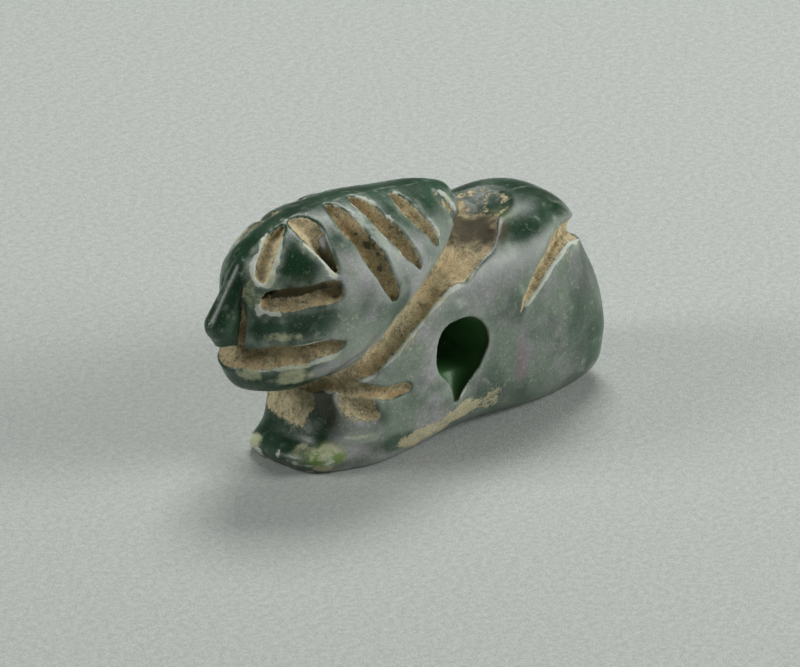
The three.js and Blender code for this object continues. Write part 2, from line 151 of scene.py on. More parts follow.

# How each cut is finished and shaded: soil cover, how orange the soil is (painted more orange where its walls face the
# lights), how much painted shade darkens the walls that face away from the lights, forward and down, pale wear of the
# rim to the left and to the right (below and above for the eye, above and below for the others that lie along the
# stone), the stretch of the cut that has the wear, and how pale a ridge beside it is
FINISH = {
    "parting": (1.3, 0.55, 0.1, 0, 1, (-0.85, 0.45), 0),
    "haunch": (0.85, 0.4, 0.1, 0, 1, (-0.8, 0.7), 0),
    "elbow": (1.1, 0.9, 0.2, 0, 0, (-1, 1), 0),
    "forearm": (0.8, 0.5, 0.2, 0, 0, (-1, 1), 0),
    "brow": (1, 0.3, 0, 1.9, 1.5, (-0.5, 1.2), 0),
    "temple": (0.8, 0.35, 0.9, 1.1, 0.2, (-0.1, 1.3), 0.6),
    "eye": (0.95, 0.7, 1, 1.2, 0.5, (-1.5, -0.5), 0),
    "lock_1": (1.15, 0.75, 0.6, 0.15, 0.5, (-1, 0.3), 1),
    "lock_2": (1.05, 0.6, 0.6, 0.5, 0.5, (-1, 0.7), 1),
    "lock_3": (0.95, 0.5, 0.5, 0.6, 0.6, (-1, 0.9), 1),
    "lock_4": (0.4, 0.4, 0.4, 0.2, 0.7, (-0.8, 1), 0.7),
    "mouth": (1.05, 0.5, 0.6, 0.3, 0.9, (-0.1, 1), 0),
    "nose_side": (1.2, 0.4, 0.3, 0, 0, (-1, 1), 0),
    "pupil": (0.3, 0.6, 1, 0, 0, (-1, 1), 0),
    "bore": (0, 0, 1, 0, 0, (-1, 1), 0),
    "chip": (0.1, 0, 6, 0.1, 1, (-1, 1), 0),
}

# Soft patches of the skin in mm: kind, middle, reach and share
PATCHES = [
    ("cream", (-0.85, -1.4, 3.4), (0.6, 0.8, 0.34), 1),
    ("cream", (-1.9, -0.7, 3.5), (0.35, 0.45, 0.3), 1),
    ("cream", (-0.42, 0.95, 0.45), (0.3, 0.6, 0.24), 1.4),
    ("cream", (-0.2, -0.9, 0.7), (0.35, 0.5, 0.22), 0.6),
    ("cream", (-1.3, -1.45, 4.75), (0.7, 0.5, 0.15), 0.8),
    ("cream", (-1.75, -0.7, 5.95), (0.2, 0.4, 0.5), 0.6),
    ("cream", (4.75, -2.4, 1.25), (0.35, 0.3, 0.12), 0.9),
    ("leaf", (0.12, -1.5, 0.6), (0.75, 0.5, 0.45), 1.4),
    ("leaf", (7.1, -0.9, 5.95), (0.6, 0.6, 0.3), 0.35),
    ("crust", (3.22, -2.27, 0.62), (1.1, 0.6, 0.4), 0.9),
    ("crust", (4.57, -2.3, 0.95), (0.9, 0.6, 0.36), 0.9),
    ("crust", (5.66, -2.33, 1), (0.5, 0.6, 0.5), 0.55),
    ("crust", (0.15, -1.5, 0.22), (0.4, 0.4, 0.16), 0.8),
    ("pink", (6.7, -2.45, 1.9), (0.26, 0.8, 0.8), 0.6),
    ("pink", (1.1, -1.85, 2), (0.5, 0.6, 0.5), 0.25),
    ("soil", (1.05, -1.8, 2.05), (0.55, 0.6, 0.55), 0.8),
    ("soil", (8.7, -2, 4.6), (0.3, 0.6, 0.6), 0.3),
    # Painted highlight on the forearm
    ("rub_and_highlight", (1.1, -1.9, 1.08), (0.6, 0.5, 0.2), 2.4),
    ("rub_and_highlight", (6.2, -1.8, 5.3), (0.8, 0.8, 0.4), 0.5),
    ("rub_and_highlight", (4.45, -2.3, 4.35), (0.3, 0.5, 0.2), 0.7),
    # Bloom and painted sheen on the lower cheek
    ("bloom_and_sheen", (-0.19, -1.71, 3.45), (0.4, 0.6, 0.4), 0.9),
    ("rub_and_highlight", (0.6, -1.9, 4.3), (0.8, 0.6, 0.7), 0.4),
    ("rub_and_highlight", (0.5, -1.9, 5.7), (0.5, 0.6, 0.6), 0.4),
    # Bloom and painted sheen on the upper cheek
    ("bloom_and_sheen", (0.2, -2, 5.9), (0.45, 0.6, 0.3), 0.7),
    ("bare", (2.3, -2.2, 5.1), (0.5, 0.8, 0.8), 0.7),
    ("bare", (2.31, -2.21, 0.7), (0.9, 0.6, 0.35), 0.8),
    ("bare", (9.3, -2.2, 2.4), (0.9, 1, 1.8), 0.6),
    ("bare", (5.6, -2.4, 1.4), (0.6, 0.6, 0.7), 0.6),
    ("bare", (7.4, -1.7, 5.7), (1.6, 0.8, 0.5), 1),
    # Painted shade in the top of the hollow behind the head
    ("painted_shade", (6.1, -0.7, 5.8), (1.1, 1.4, 0.8), 1.3),
    ("washed", (7.2, 0, 6.1), (1.1, 1.2, 0.6), 1.2),
    ("bare", (9.8, -1.9, 1.4), (0.8, 1, 1.2), 0.9),
    # Painted highlight: a thin pale line on the forearm
    ("rim", (1.12, -1.9, 1.1), (0.5, 0.5, 0.08), 0.8),
    ("crust", (2.5, -1.9, 3.9), (0.7, 0.7, 0.9), 0.5),
    # Painted shade, faint, above the eye
    ("painted_shade", (-0.75, -1.53, 6.1), (0.5, 0.6, 0.45), 0.3),
]

# The photograph's view: camera azimuth and elevation in degrees, distance in mm, picture size in pixels,
# pixels to a millimetre, and where the front edge of the forefeet lies in the picture
AZIMUTH = -41
ELEVATION = 25
DISTANCE = 250
PICTURE = (800, 667)
PIXELS_PER_MM = 35.7
FOOT_PIXEL = (286, 462)
CARVING_MIDDLE = 4.044


def side(point):
    """A point of the side view in mm: its shares times the length and the height, over a hundred."""
    return np.array([point[0] * LENGTH / 100, point[1] * HEIGHT / 100])


def smooth(value):
    """Rises from 0 at 0 to 1 at 1 as 3 v squared less 2 v cubed, flat outside."""
    value = np.clip(value, 0, 1)
    return value * value * (3 - 2 * value)


def blended(a, b, radius):
    """The smaller of two fields, with the crease where they meet filled by a round of this radius."""
    share = np.clip(0.5 + 0.5 * (b - a) / radius, 0, 1)
    return b + (a - b) * share - radius * share * (1 - share)


def cut(field, cutter, radius):
    """A field with a cutter taken out of it, the new edge rounded by this radius."""
    return -blended(-field, cutter, radius)


def outline_reach(outline, centre):
    """Angles and distances from a centre to a closed Catmull-Rom curve through the outline's points."""
    points = np.array([side(point) for point in outline])
    before, start, end, after = (np.roll(points, shift, 0)[:, None, :] for shift in (1, 0, -1, -2))
    t = np.linspace(0, 1, 24, endpoint=False)[None, :, None]
    curve = 0.5 * (
        2 * start + (end - before) * t + (2 * before - 5 * start + 4 * end - after) * t**2
        + (3 * start - before - 3 * end + after) * t**3
    )
    away = curve.reshape(-1, 2) - side(centre)
    angle = np.arctan2(away[:, 1], away[:, 0])
    order = np.argsort(angle)
    return angle[order], np.hypot(away[:, 0], away[:, 1])[order]


class Pillow:
    """A pillow over a side outline: the share of the way to the edge, to the power side_curve, and the share of
    the half width, to the power cross_curve, add up to one on its skin. Below the centre the cross curve grows to
    low_curve, which makes the flanks stand squarer."""

    def __init__(self, outline, centre, half_width, side_curve, cross_curve, low_curve):
        self.angle, self.reach = outline_reach(outline, centre)
        self.centre = side(centre)
        self.half_width = half_width
        self.curves = (side_curve, cross_curve, low_curve)

    def field(self, x, y, z):
        """About the distance in mm from the skin, less than zero inside."""
        dx, dz = x - self.centre[0], z - self.centre[1]
        reach = np.interp(np.arctan2(dz, dx), self.angle, self.reach, period=2 * np.pi)
        share = np.maximum(np.hypot(dx, dz) / reach, 1e-6)
        side_curve, cross_curve, low_curve = self.curves
        cross_curve = cross_curve + (low_curve - cross_curve) * smooth(0.5 - dz / (0.4 * HEIGHT))
        total = share**side_curve + np.abs(y / self.half_width)**cross_curve
        return (total**(1 / side_curve) - 1) * np.minimum(reach, self.half_width)


def head_breadth(x):
    """Share of the head's width at x: one at the cheeks, less towards the face and the tip of the head cloth by the
    distance to the power 1.8."""
    away = (x - side((CHEEKS, 0))[0]) / (0.3 * LENGTH)
    return 1 - np.where(away < 0, 0.26, 0.3) * np.minimum(np.abs(away), 1.2)**1.8


def rod(x, y, z, start, end, start_radius, end_radius):
    """Distance to a line from start to end, less a radius that grows evenly from one end to the other."""
    start, end = np.array(start, float), np.array(end, float)
    way = end - start
    t = ((x - start[0]) * way[0] + (y - start[1]) * way[1] + (z - start[2]) * way[2]) / (way @ way)
    t = np.clip(t, 0, 1)
    away = np.sqrt(sum((p - s - t * w)**2 for p, s, w in zip((x, y, z), start, way)))
    return away - start_radius - (end_radius - start_radius) * t


def ball(x, y, z, centre, axes, radii):
    """A stretched ball: the length of the place over the radii, less one, times that length over the length of
    the place over the squared radii."""
    away = [p - c for p, c in zip((x, y, z), centre)]
    local = [sum(a * u for a, u in zip(away, axis)) for axis in axes]
    once = np.sqrt(sum((v / r)**2 for v, r in zip(local, radii)))
    twice = np.sqrt(sum((v / r**2)**2 for v, r in zip(local, radii)))
    return once * (once - 1) / np.maximum(twice, 1e-6)


def axes_along(along, out):
    """Three unit axes: along, across, and out as nearly as along allows."""
    along = np.array(along, float)
    along /= np.linalg.norm(along)
    out = np.array(out, float) - along * (along @ np.array(out, float))
    out /= np.linalg.norm(out)
    return along, np.cross(out, along), out


def trough(s, t, depth_in, left, right, depth, curve, ends, widening, deepening, bow):
    """A boat-shaped cut. Along it s runs from -1 to 1. Across it q is ((t / reach)^curve + (depth in / depth)^curve)
    ^ (1 / curve), where reach and depth grow with s. On the cut's skin s^ends + q^ends is one. Bow moves its middle
    to the left by bow (1 - s^2)."""
    t = t + bow * np.maximum(1 - s * s, 0)
    growth = np.clip(1 + widening * s, 0.3, 2)
    deep = depth * np.clip(1 + deepening * s, 0.3, 2)
    reach = np.where(t < 0, left, right) * growth
    q = ((np.abs(t) / reach)**curve + (depth_in / deep)**curve)**(1 / curve)
    power = np.where(t < 0, *ends)
    total = (np.minimum(np.abs(s), 4)**power + np.minimum(q, 9)**power)**(1 / power)
    return (total - 1) * np.minimum(reach, deep) * 0.8


def long_hollow(place, depth_in, stations, points, curve):
    """A cut along points of the skin: ((distance from the line along the skin / reach)^curve
    + (depth in / depth)^curve)^(1 / curve) is one on its skin, with reach and depth running evenly between points.
    Also tells how far along the line a place lies, from -1 to 1, and on which side, less than zero above it."""
    best = np.full(np.shape(place[0]), 1e3)
    along = np.zeros_like(best)
    side_of_line = np.ones_like(best)
    for i in range(len(points) - 1):
        (above, below, depth), (above_b, below_b, depth_b) = stations[i][2:], stations[i + 1][2:]
        start, way = points[i][0], points[i + 1][0] - points[i][0]
        across = np.cross(points[i][1] + points[i + 1][1], way)
        away = [p - s for p, s in zip(place, start)]
        t = np.clip(sum(a * w for a, w in zip(away, way)) / (way @ way), 0, 1)
        away = [a - t * w for a, w in zip(away, way)]
        upper = sum(a * c for a, c in zip(away, across)) > 0
        reach = np.where(upper, above + (above_b - above) * t, below + (below_b - below) * t)
        deep = depth + (depth_b - depth) * t
        beside = np.sqrt(np.maximum(sum(a * a for a in away) - depth_in**2, 0))
        q = ((beside / reach)**curve + (depth_in / deep)**curve)**(1 / curve)
        part = (q - 1) * np.minimum(reach, deep) * 0.8
        nearest = part < best
        best = np.where(nearest, part, best)
        along = np.where(nearest, 2 * (i + t) / (len(points) - 1) - 1, along)
        side_of_line = np.where(nearest, np.where(upper, -1, 1), side_of_line)
    return best, along, side_of_line


class Sphinx:
    """The carved form as one field in mm, less than zero inside the stone."""

    def __init__(self, sizes):
        self.sizes = sizes
        self.head = Pillow(HEAD_OUTLINE, HEAD_CENTRE, sizes.head_width / MM / 2, 2.3, 1.8, 1.8)
        self.body = Pillow(BODY_OUTLINE, BODY_CENTRE, sizes.body_width / MM / 2, 3.3, 2.5, 3.9)
        self.strokes = {
            name: self.laid_on_skin(start, end) + tuple(rest) for name, (start, end, *rest) in HEAD_STROKES.items()
        }
        self.hollows = {
            name: (stations, [self.near_skin(*side(station[:2])) for station in stations])
            for name, stations in FLANK_HOLLOWS.items()
        }

    def near_skin(self, x, z):
        """The point of the near flank's skin at a place of the side view, found by halving, and the way out there."""
        inside, outside = 0.0, -0.6 * self.sizes.head_width / MM
        for _ in range(30):
            middle = (inside + outside) / 2
            if self.blank(np.array([x]), np.array([middle]), np.array([z]))[0] < 0:
                inside = middle
            else:
                outside = middle
        point = np.array([x, inside, z])
        out = slope(self.blank, point[None, :])[0]
        return point, out / np.linalg.norm(out)

    def laid_on_skin(self, start, end):
        """A stroke's middle, half length, way along and way across, with its ends on the near flank's skin."""
        first, last = (self.near_skin(*side(point))[0] for point in (start, end))
        middle = (first + last) / 2
        along = last - first
        half = np.linalg.norm(along) / 2
        along = along / (2 * half)
        across = np.cross(slope(self.blank, settle(self.blank, middle[None, :], 3, 1))[0], along)
        return middle, half, along, across / np.linalg.norm(across)

    def forequarters(self, x, y, z):
        """Rounded rectangles level by level: (|x - middle| / half length)^3.6 + (|y| / half width)^3.6 = 1."""
        level = z + FOOT_TILT * y * np.maximum(0, 1 - z / side((0, FOOT_TILT_TOP))[1])
        heights = FOREQUARTERS[:, 0] * HEIGHT / 100
        front, half_width = (
            sum(np.interp(level + step, heights, column) for step in (-0.12, 0, 0, 0.12)) / 4
            for column in (FOREQUARTERS[:, 1] * LENGTH / 100, FOREQUARTERS[:, 2] * self.sizes.foot_width / MM / 2))
        back = side((CHEST_BACK, 0))[0]
        middle, half = (front + back) / 2, (back - front) / 2
        plan = (np.abs((x - middle) / half)**3.6 + np.abs(y / half_width)**3.6)**(1 / 3.6)
        return np.maximum((plan - 1) * half_width, z - heights[-1])

    def blank(self, x, y, z):
        """The rounded stone before the cuts: head, nose, body and forequarters blended into each other."""
        head = self.head.field(x, y / head_breadth(x), z)
        root, tip = side(NOSE_ROOT), side(NOSE_TIP)
        nose = rod(x, y, z, (root[0], 0, root[1]), (tip[0], 0, tip[1]), 0.26, 0.46)
        foot = side(NOSE_FOOT)
        nose = np.minimum(nose, rod(x, y, z, (tip[0], 0, tip[1]), (foot[0], 0, foot[1]), 0.46, 0.3))
        head = blended(head, nose, 0.12)
        body = blended(self.body.field(x, y, z), self.forequarters(x, y, z), 0.3)
        return blended(head, body, 0.15)

    def neck_gap(self, x, y, z):
        """Distance to the round that was ground away under the chin."""
        (ax, az), (bx, bz) = (side(point) for point in NECK_GAP)
        radius = self.sizes.neck_gap_radius / MM
        return rod(x, 0 * y, z, (ax, 0, az), (bx, 0, bz), radius, radius)

    def cutters(self, x, y, z, depth_in):
        """Every cut by name: its field, how far along it a place lies, and how far across, left being less than
        zero. They waver by 0.03 mm, as cut by hand, and the strokes stand a little further down on the far flank,
        clear of the crest."""
        sizes = self.sizes
        x, z = (
            x + 0.03 * np.sin(5.1 * z + 2.3 * y + 1.3 * np.sin(3.7 * x)),
            z + 0.03 * np.sin(4.3 * x - 3.1 * y + 1.3 * np.sin(4.9 * z)))
        near = -np.abs(y)
        for name, (stations, points) in self.hollows.items():
            yield name, *long_hollow((x, near, z), depth_in, stations, points, 1.25)
        for name, (middle, half, along, across, *shape) in self.strokes.items():
            away = (x - middle[0], near + np.where(y > 0, FAR_SHIFT, 0) - middle[1], z - middle[2])
            s = sum(a * u for a, u in zip(away, along)) / half
            t = sum(a * u for a, u in zip(away, across))
            yield name, trough(s, t, depth_in, *shape), s, t
        (mx, mz), (cx, cz) = side(MOUTH[0]), side(MOUTH[1])
        half = math.hypot(cx - mx, cz - mz) / 2
        ux, uz = (cx - mx) / (2 * half), (cz - mz) / (2 * half)
        s = ((x - mx) * ux + (z - mz) * uz) / half - 1
        t = (x - mx) * uz - (z - mz) * ux
        yield "mouth", trough(s, t, depth_in, *MOUTH[2:]), s, t
        (nx, nz), tilt, out, radii = NOSE_SIDE
        nx, nz = side((nx, nz))
        axes = axes_along((tilt[0], 0, tilt[1]), (-1, 0.6, -0.42))
        yield "nose_side", ball(x, -near, z, (nx, out, nz), axes, radii), 0 * x, x - nx
        px, pz = side(PUPIL)
        yield "pupil", rod(x, -near, z, (px - 0.05, 2.2, pz), (px + 0.05, 0.6, pz), 0.27, 0.2), 0 * x, x - px
        bx, bz = side(BORE_CENTRE)
        flare = (y / (sizes.body_width / MM / 2))**2
        radius = (sizes.bore_radius + (sizes.bore_mouth - sizes.bore_radius) * flare) / MM
        yield "bore", np.hypot(x - bx, z - bz) - radius, 0 * x, x - bx
        chip = rod(x, y, z, (bx - 0.02, -2.2, bz - 0.42), (bx - 0.17, -2.35, bz - 1.5), 0.78, 0.1)
        yield "chip", chip, 0 * x, x - bx

    def field(self, x, y, z):
        """The stone: the blank less the neck gap, every cut and the ground, drawn in towards the ground."""
        soft = self.sizes.edge_rounding / MM
        form = self.blank(x, y, z)
        depth_in = np.maximum(-form, 0)
        form = cut(form, self.neck_gap(x, y, z), 0.2)
        for _, cutter, _, _ in self.cutters(x, y, z, depth_in):
            form = cut(form, cutter, soft)
        return cut(form + FOOT_DRAW_IN * smooth(1 - z / FOOT_DRAW_IN), z, soft)


def surface_nets(values, axes):
    """One vertex in each grid cell that the surface crosses, at the mean of the crossings on the cell's edges, and
    one quad around each crossed edge of the grid."""
    count = np.array(values.shape)
    cells = tuple(count - 1)
    total = np.zeros((int(np.prod(cells)), 3))
    hits = np.zeros(int(np.prod(cells)))
    rings = []
    for axis in range(3):
        others = [i for i in range(3) if i != axis]
        near = np.take(values, range(count[axis] - 1), axis)
        far = np.take(values, range(1, count[axis]), axis)
        crossed = (near < 0) != (far < 0)
        edge = np.argwhere(crossed)
        place = edge.astype(float)
        place[:, axis] += near[crossed] / (near[crossed] - far[crossed])
        ring = []
        for step_a, step_b in ((0, 0), (-1, 0), (-1, -1), (0, -1)):
            cell_at = edge.copy()
            cell_at[:, others[0]] += step_a
            cell_at[:, others[1]] += step_b
            flat = np.ravel_multi_index(tuple(cell_at.T), cells)
            hits += np.bincount(flat, minlength=len(hits))
            for i in range(3):
                total[:, i] += np.bincount(flat, place[:, i], len(hits))
            ring.append(flat)
        turned = (near[crossed] < 0) != (axis == 1)
        ring = np.stack(ring, 1)
        ring[turned] = ring[turned][:, ::-1]
        rings.append(ring)
    used = hits > 0
    index = np.cumsum(used) - 1
    place = total[used] / hits[used][:, None]
    vertices = np.stack([np.interp(place[:, i], np.arange(count[i]), axes[i]) for i in range(3)], 1)
    return vertices, index[np.concatenate(rings)[:, ::-1]]


def slope(field, v, step=0.01):
    """Central differences of a field at points."""
    result = np.zeros_like(v)
    for i in range(3):
        shift = np.zeros(3)
        shift[i] = step
        result[:, i] = (field(*(v + shift).T) - field(*(v - shift).T)) / (2 * step)
    return result


def settle(field, v, steps, cap):
    """Newton steps onto the surface: each point moves against the slope by field / slope squared, up to a cap."""
    for _ in range(steps):
        ahead = slope(field, v)
        move = field(*v.T) / np.maximum((ahead**2).sum(1), 1e-3)
        v = v - np.clip(move, -cap, cap)[:, None] * ahead
    return v


def neighbour_mean(values, quads):
    """The mean of a value over the vertices that share an edge with each vertex."""
    a = quads.ravel()
    b = np.roll(quads, -1, 1).ravel()
    count = np.bincount(a, minlength=len(values)) + np.bincount(b, minlength=len(values))
    columns = values.reshape(len(values), -1).T
    sums = [np.bincount(a, c[b], len(values)) + np.bincount(b, c[a], len(values)) for c in columns]
    return (np.array(sums) / np.maximum(count, 1)).T.reshape(values.shape)


def noise(v, wavelength, seed):
    """Value noise: random numbers on a lattice, blended between its corners by the smooth curve. From -1 to 1."""
    rng = np.random.default_rng(seed)
    table = rng.uniform(-1, 1, 4096)
    place = v / wavelength
    base = np.floor(place).astype(np.int64)
    share = smooth(place - base)
    total = 0
    for corner in np.ndindex(2, 2, 2):
        key = base + corner
        picked = table[(key[:, 0] * 73856093 ^ key[:, 1] * 19349663 ^ key[:, 2] * 83492791) % 4096]
        weight = np.prod(np.where(corner, share, 1 - share), axis=1)
        total = total + picked * weight
    return total


def quad_normals(v, quads):
    """Vertex normals: the cross products of each quad's diagonals, summed at its corners."""
    cross = np.cross(v[quads[:, 2]] - v[quads[:, 0]], v[quads[:, 3]] - v[quads[:, 1]])
    flat = quads.ravel()
    total = np.stack([np.bincount(flat, np.repeat(cross[:, i], 4), len(v)) for i in range(3)], 1)
    return total / np.maximum(np.linalg.norm(total, axis=1), 1e-12)[:, None]


def grid_axis(low, high, fine, coarse, finest, spread):
    """Grid lines whose gap grows from fine at one place to coarse far from it, by a bell of the given spread."""
    lines = [low]
    while lines[-1] < high:
        away = (lines[-1] - finest) / spread
        lines.append(lines[-1] + coarse - (coarse - fine) * math.exp(-away * away))
    return np.array(lines)


def carve(sizes):
    """The carved surface: the form's zero surface on a grid that is finest at the face, settled onto the form."""
    form = Sphinx(sizes)
    fine = sizes.fineness / MM
    axes = [
        grid_axis(-3.4, 11.7, fine, fine * 1.25, 0, 6),
        grid_axis(-2.7, 2.7, fine, fine, 0, 1),
        grid_axis(-0.2, 8, fine, fine * 1.05, 5, 4),
    ]
    grid = np.meshgrid(*axes, indexing="ij")
    values = form.blank(*grid)
    near_skin = np.abs(values) < 1.1
    drilled = (grid[0] - side(BORE_CENTRE)[0])**2 + (grid[2] - side(BORE_CENTRE)[1])**2 < 1.4
    gap = (np.abs(grid[0] - side(NECK_GAP[1])[0]) < 1.6) & (np.abs(grid[2] - side(NECK_GAP[1])[1]) < 1.4)
    worked = near_skin | drilled | gap | (np.abs(grid[2]) < 0.3)
    values[worked] = form.field(*(axis[worked] for axis in grid))
    vertices, quads = surface_nets(values, axes)
    vertices = settle(form.field, vertices, 2, fine * 0.5)
    return form, vertices, quads


def patch(v, middle, reach, seed):
    """A soft patch: a bell around its middle, broken up by noise."""
    bell = np.exp(-(((v - middle) / reach)**2).sum(1))
    return smooth(bell * 1.7 - 0.35 + bell * (0.5 * noise(v, 0.3, seed) + 0.35 * noise(v, 0.13, seed + 50)))


def steepness(form, v, depth, step=0.01):
    """How steep the field of every cut is along the skin."""
    steep = {name: 1e-4 for name in FINISH}
    for shift in step * np.eye(3):
        ahead = form.cutters(*(v + shift).T, depth)
        behind = form.cutters(*(v - shift).T, depth)
        for (name, over, _, _), (_, under, _, _) in zip(ahead, behind):
            steep[name] = steep[name] + ((over - under) / (2 * step))**2
    return {name: np.sqrt(value) for name, value in steep.items()}


def shading(form, v, quads):
    """Numbers on every point, each from 0 to 1, that the stone's finish and its painted shade, highlights and sheen
    are mixed from.
    """
    normal = quad_normals(v, quads)
    depth = np.maximum(-form.blank(*v.T), 0)
    steep = steepness(form, v, depth)
    masks = {name: np.zeros(len(v)) for name in (
        "soil", "orange", "painted_shade", "rim", "rub_and_highlight", "bloom_and_sheen", "cream", "leaf", "crust", "pink", "deep")}
    fine, medium, broad = noise(v, 0.12, 21), noise(v, 0.3, 22), noise(v, 0.9, 23)
    # How much a point faces the lights from the right and above; the painted shade in the cuts and the orange of their
    # soil follow it
    lit = normal[:, 0] * 0.65 + normal[:, 2] * 0.75
    beside = np.zeros(len(v))
    for name, cutter, along, across in form.cutters(*v.T, depth):
        cover, orange, shade, left, right, (first, last), ridge = FINISH[name]
        inside = smooth((depth - 0.02) / 0.07) * smooth(1.6 - np.abs(cutter) / 0.08)
        ending = 1 - 0.5 * smooth(along * 1.5 - 0.3)
        # Painted shade: walls that face away from the lights darken, and the whole cut a little
        painted_shade = np.minimum(shade * ending * (0.15 + smooth((0.12 - lit + 0.22 * medium) / 0.5)), 1)
        soil = smooth((cover * (1 - painted_shade) + 0.3 * fine + 0.35 * medium - 0.15) / 0.5)
        masks["soil"] = np.maximum(masks["soil"], inside * soil)
        # Soil on walls that face the lights is painted more orange: real orange soil with painted light
        masks["orange"] = np.maximum(masks["orange"], inside * orange * smooth(0.5 + 0.6 * medium + 0.4 * lit))
        masks["painted_shade"] = np.maximum(masks["painted_shade"], inside * painted_shade)
        out = np.maximum(cutter, 0) / steep[name]
        stretch = smooth((along - first) / 0.3 + 0.5) * smooth((last - along) / 0.3 + 0.5)
        strength = np.where(across < 0, left, right) * stretch
        width = 0.02 + 0.07 * strength * np.maximum(0.9 + 0.6 * broad + 0.8 * medium + 0.4 * fine, 0.1)
        rim = smooth((1.3 - out / width - depth / 0.05) / 0.8) * smooth(strength * 1.4 + 0.8 * medium - 0.3)
        masks["rim"] = np.maximum(masks["rim"], rim)
        halo = 0.7 * strength * smooth(1 - out / 0.4) * smooth(1 - depth / 0.06) * smooth(0.6 + 0.6 * medium)
        masks["rub_and_highlight"] = np.maximum(masks["rub_and_highlight"], halo)
        beside += ridge * smooth(1.15 - out / 0.45)
        # Painted light and shade: the deep walls of the bore and the chip take one saturated green in place of the
        # stone's own colours
        if name in ("bore", "chip"):
            masks["deep"] = np.maximum(masks["deep"], inside * smooth(depth / 0.3))
    gap = smooth(1.6 - np.abs(form.neck_gap(*v.T)) / 0.2) * smooth((2.5 - v[:, 2]) / 0.2)
    wall = smooth((v[:, 1] + 0.8 + 0.2 * medium) / 0.35) * smooth((v[:, 2] - 1.05) / 0.35)
    streaks = noise(v * (1, 1, 0.2), 0.16, 24)
    masks["soil"] = np.maximum(masks["soil"], gap * np.maximum(wall * smooth(0.85 + 0.5 * streaks), 0.22))
    # Painted shade under the chin: the gap's walls that face down darken
    masks["painted_shade"] = np.maximum(masks["painted_shade"], gap * smooth((0.45 - normal[:, 2]) / 0.5) * (0.75 - 0.25 * wall))
    smoothed = v
    for _ in range(40):
        smoothed = neighbour_mean(smoothed, quads)
    swell = ((v - smoothed) * normal).sum(1)
    clear = smooth((np.abs(v[:, 1]) - 0.35) / 0.5)
    masks["rub_and_highlight"] = np.maximum.reduce([
        masks["rub_and_highlight"],
        0.35 * smooth((swell + 0.012 * medium - 0.02) / 0.06) * (1 - gap) * clear,
        smooth((beside - 1.25 + 0.4 * medium) / 0.35) * clear])
    foot_edge = smooth((swell - 0.035) / 0.03) * (v[:, 0] < 0.8) * smooth((1.2 - v[:, 2]) / 0.2)
    masks["rim"] = np.maximum(masks["rim"], foot_edge * smooth(0.35 + 0.9 * medium + 0.5 * fine))
    # Painted highlight: a thin pale line along the crest
    crest_line = smooth(1.2 - np.abs(v[:, 1] + 0.12 + 0.05 * broad) / 0.035) * smooth((normal[:, 2] - 0.75) / 0.2)
    masks["rub_and_highlight"] = np.maximum(masks["rub_and_highlight"], 0.5 * crest_line * smooth(0.6 + medium) * (v[:, 0] > 0.6))
    # Bloom and painted sheen: paler on faces that turn to the sides, toward the lights, less at the front and at the
    # rump
    facing = smooth((np.abs(normal[:, 1]) - 0.5) / 0.35) * smooth((v[:, 0] + 0.4 + 0.3 * broad) / 0.8)
    masks["bloom_and_sheen"] = facing * smooth(0.75 + 0.35 * broad + 0.2 * medium) * (1 - 0.35 * smooth((v[:, 0] - 3.4) / 1))
    masks["bare"] = np.zeros(len(v))
    masks["washed"] = np.zeros(len(v))
    for number, (kind, middle, reach, share) in enumerate(PATCHES):
        masks[kind] = np.maximum(masks[kind], share * patch(v, middle, reach, 60 + number))
    masks["bloom_and_sheen"] *= 1 - masks.pop("bare")
    masks["soil"] *= 1 - np.minimum(masks.pop("washed"), 1)
    return masks, normal


def roughened(v, normal, masks):
    """The hand-worked skin: slow waves over the polished parts, grain in the cuts and small losses on the edges."""
    standing = smooth((v[:, 2] - 0.05) / 0.2)
    wave = 0.018 * noise(v, 1.7, 3) + 0.008 * noise(v, 0.7, 4)
    coarse = np.maximum(masks["soil"], masks["crust"])
    grain = coarse * (0.02 * noise(v, 0.17, 5) + 0.016 * noise(v, 0.42, 6))
    loss = masks["rim"] * 0.03 * np.maximum(noise(v, 0.2, 7) + 0.2, 0)
    return v + normal * ((wave + grain - loss) * standing)[:, None]


class Wire:
    """A shader socket with the signs of arithmetic: each sign adds the Math node for it."""

    def __init__(self, paint, socket):
        self.paint = paint
        self.socket = socket

    def math(self, operation, *values):
        return self.paint.node("Math", {"operation": operation}, *values)

    def __add__(self, other):
        return self.math("ADD", self, other)

    def __sub__(self, other):
        return self.math("SUBTRACT", self, other)

    def __rsub__(self, other):
        return self.math("SUBTRACT", other, self)

    def __mul__(self, other):
        return self.math("MULTIPLY", self, other)

    def __truediv__(self, other):
        return self.math("DIVIDE", self, other)

    def __pow__(self, other):
        return self.math("POWER", self, other)

    __radd__ = __add__
    __rmul__ = __mul__

    def clamped(self):
        return self.paint.node("Clamp", {}, self)

    def ramp(self, low, high):
        """From 0 at low to 1 at high by the smooth curve."""
        settings = {"interpolation_type": "SMOOTHSTEP", "clamp": True}
        return self.paint.node("MapRange", settings, self, low, high)


